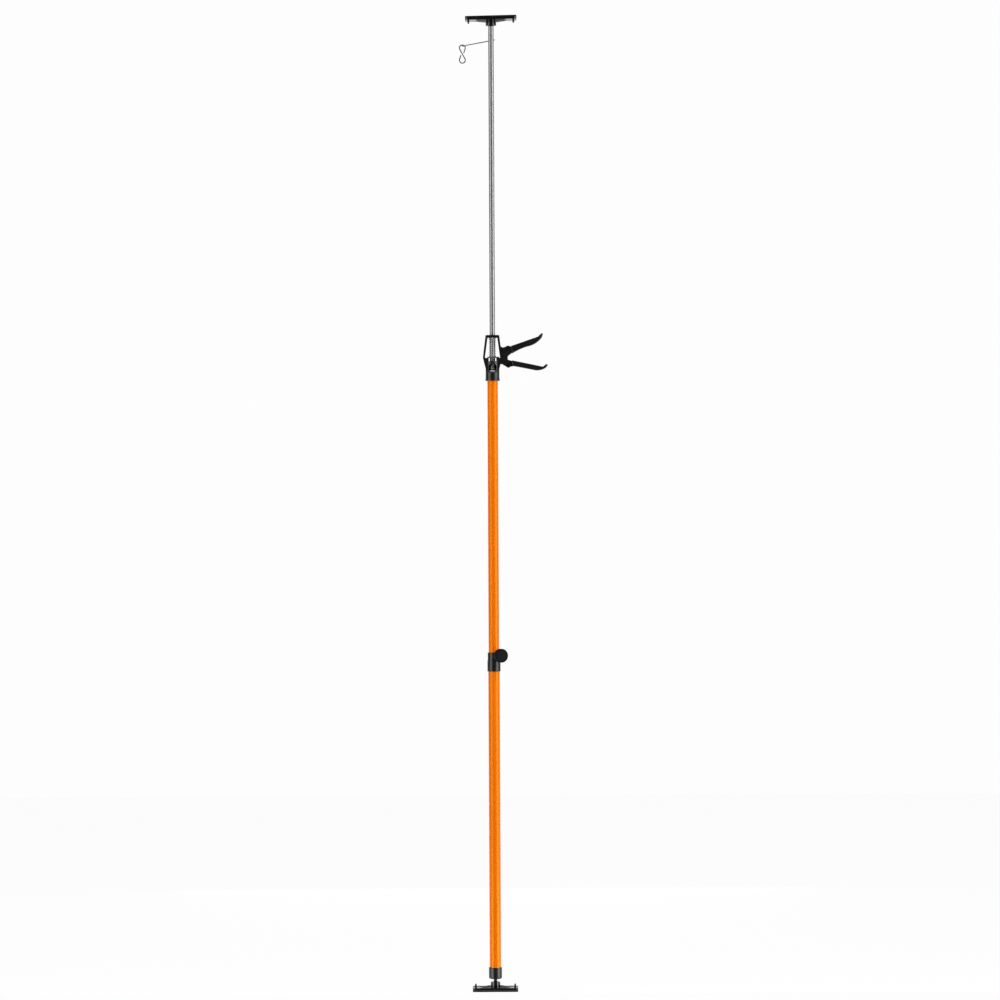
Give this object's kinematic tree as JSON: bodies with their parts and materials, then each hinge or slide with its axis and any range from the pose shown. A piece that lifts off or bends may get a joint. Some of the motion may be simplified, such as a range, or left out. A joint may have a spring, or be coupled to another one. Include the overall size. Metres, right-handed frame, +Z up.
{
  "type": "telescopic prop",
  "caption": "Telescopic support prop: clamped tubes, a trigger-driven push rod, swivelling padded foot and head plates, and an S-hook on a wire arm.",
  "frame": {"origin": "centre of the foot pad's underside, on the tube axis", "axes": "+Z up along the tubes and rod, +X towards the two handles, -Y towards the clamp knob's side"},
  "size_m": [0.26, 0.0909, 2.901],
  "materials": {
    "orange_tube": "satin powder coat",
    "bright_steel": "bright zinc",
    "wire_steel": "zinc plated wire",
    "black_plastic": "moulded, light grain",
    "charcoal_plastic": "moulded, light grain",
    "black_rubber": "matt",
    "pale_plastic": "natural nylon"
  },
  "bodies": {
    "base": {"lower_tube": "orange_tube", "foot_cap": "black_plastic", "clamp_collar": "black_plastic", "clamp_nut": "bright_steel"},
    "foot_stud": {"foot_ball_stud": "bright_steel"},
    "foot_liner": {"foot_ball_liner": "pale_plastic"},
    "foot": {"foot_plate": "black_plastic", "foot_ball_seat": "pale_plastic", "foot_pad": "black_rubber"},
    "clamp_shoe": {"clamp_pad": "pale_plastic"},
    "knob": {"clamp_screw": "bright_steel", "clamp_knob": "charcoal_plastic"},
    "tube_slider": {"tube_guide": "pale_plastic"},
    "upper": {"upper_tube": "orange_tube", "grip_body": "black_plastic", "rod_bush": "pale_plastic", "fixed_handle": "black_plastic", "handle_pin": "bright_steel", "trigger_pin": "bright_steel", "socket_rivet": "bright_steel", "drive_spring": "wire_steel", "lock_spring": "wire_steel"},
    "trigger_lever": {"trigger": "black_plastic"},
    "drive": {"drive_plate": "bright_steel"},
    "lock": {"lock_plate": "bright_steel"},
    "rod_slider": {"rod_guide": "pale_plastic"},
    "rod": {"push_rod": "bright_steel", "hook_arm": "wire_steel"},
    "hook": {"s_hook": "wire_steel"},
    "head_stud": {"head_ball_stud": "bright_steel"},
    "head_liner": {"head_ball_liner": "pale_plastic"},
    "head": {"head_plate": "black_plastic", "head_ball_seat": "pale_plastic", "head_pad": "black_rubber"}
  },
  "joints": [
    {"name": "tube_slide", "type": "slide", "parent": "base", "child": "tube_slider", "axis": [0, 0, 1], "range_m": [-0.803, 0]},
    {"name": "tube_turn", "type": "hinge", "parent": "tube_slider", "child": "upper", "pos_m": [0, 0, 1], "axis": [0, 0, 1], "continuous": true},
    {"name": "clamp_press", "type": "slide", "parent": "base", "child": "clamp_shoe", "axis": [0.4226, -0.9063, 0], "range_m": [0, 0.0025]},
    {"name": "knob_turn", "type": "hinge", "parent": "clamp_shoe", "child": "knob", "pos_m": [0, 0, 0.9988], "axis": [0.4226, -0.9063, 0], "range_deg": [0, 720]},
    {"name": "rod_slide", "type": "slide", "parent": "upper", "child": "rod_slider", "axis": [0, 0, 1], "range_m": [-0.86, 0]},
    {"name": "rod_turn", "type": "hinge", "parent": "rod_slider", "child": "rod", "pos_m": [0, 0, 2], "axis": [0, 0, 1], "range_deg": [-140, 140]},
    {"name": "trigger_squeeze", "type": "hinge", "parent": "upper", "child": "trigger_lever", "pos_m": [0.0465, 0, 1.9094], "axis": [0, 1, 0], "range_deg": [0, 20], "stiffness_Nm_per_rad": 0.6, "springref_deg": -17.19},
    {"name": "drive_lift", "type": "slide", "parent": "upper", "child": "drive", "axis": [0, 0, 1], "range_m": [0, 0.0115], "deforming": ["drive_spring"]},
    {"name": "lock_release", "type": "hinge", "parent": "upper", "child": "lock", "pos_m": [0, 0.012, 1.847], "axis": [-1, 0, 0], "range_deg": [0, 6], "stiffness_Nm_per_rad": 0.1, "springref_deg": -17.19, "deforming": ["lock_spring"]},
    {"name": "foot_turn", "type": "hinge", "parent": "base", "child": "foot_stud", "pos_m": [0, 0, 0.0182], "axis": [0, 0, 1], "continuous": true},
    {"name": "foot_tilt_x", "type": "hinge", "parent": "foot_stud", "child": "foot_liner", "pos_m": [0, 0, 0.0182], "axis": [1, 0, 0], "range_deg": [-15, 15]},
    {"name": "foot_tilt_y", "type": "hinge", "parent": "foot_liner", "child": "foot", "pos_m": [0, 0, 0.0182], "axis": [0, 1, 0], "range_deg": [-15, 15]},
    {"name": "head_turn", "type": "hinge", "parent": "rod", "child": "head_stud", "pos_m": [0, 0, 2.882], "axis": [0, 0, 1], "continuous": true},
    {"name": "head_tilt_x", "type": "hinge", "parent": "head_stud", "child": "head_liner", "pos_m": [0, 0, 2.882], "axis": [1, 0, 0], "range_deg": [-12, 12]},
    {"name": "head_tilt_y", "type": "hinge", "parent": "head_liner", "child": "head", "pos_m": [0, 0, 2.882], "axis": [0, 1, 0], "range_deg": [-10.8, 13.2]},
    {"name": "hook_swing", "type": "hinge", "parent": "rod", "child": "hook", "pos_m": [-0.08522, 0, 2.81145], "axis": [0, 1, 0], "range_deg": [-15, 60]}
  ],
  "couplings": [
    {"joint": "clamp_press", "follows": "knob_turn", "m_per_rad": 0.00019894},
    {"joint": "drive_lift", "follows": "trigger_squeeze", "m_per_rad": 0.0325}
  ]
}
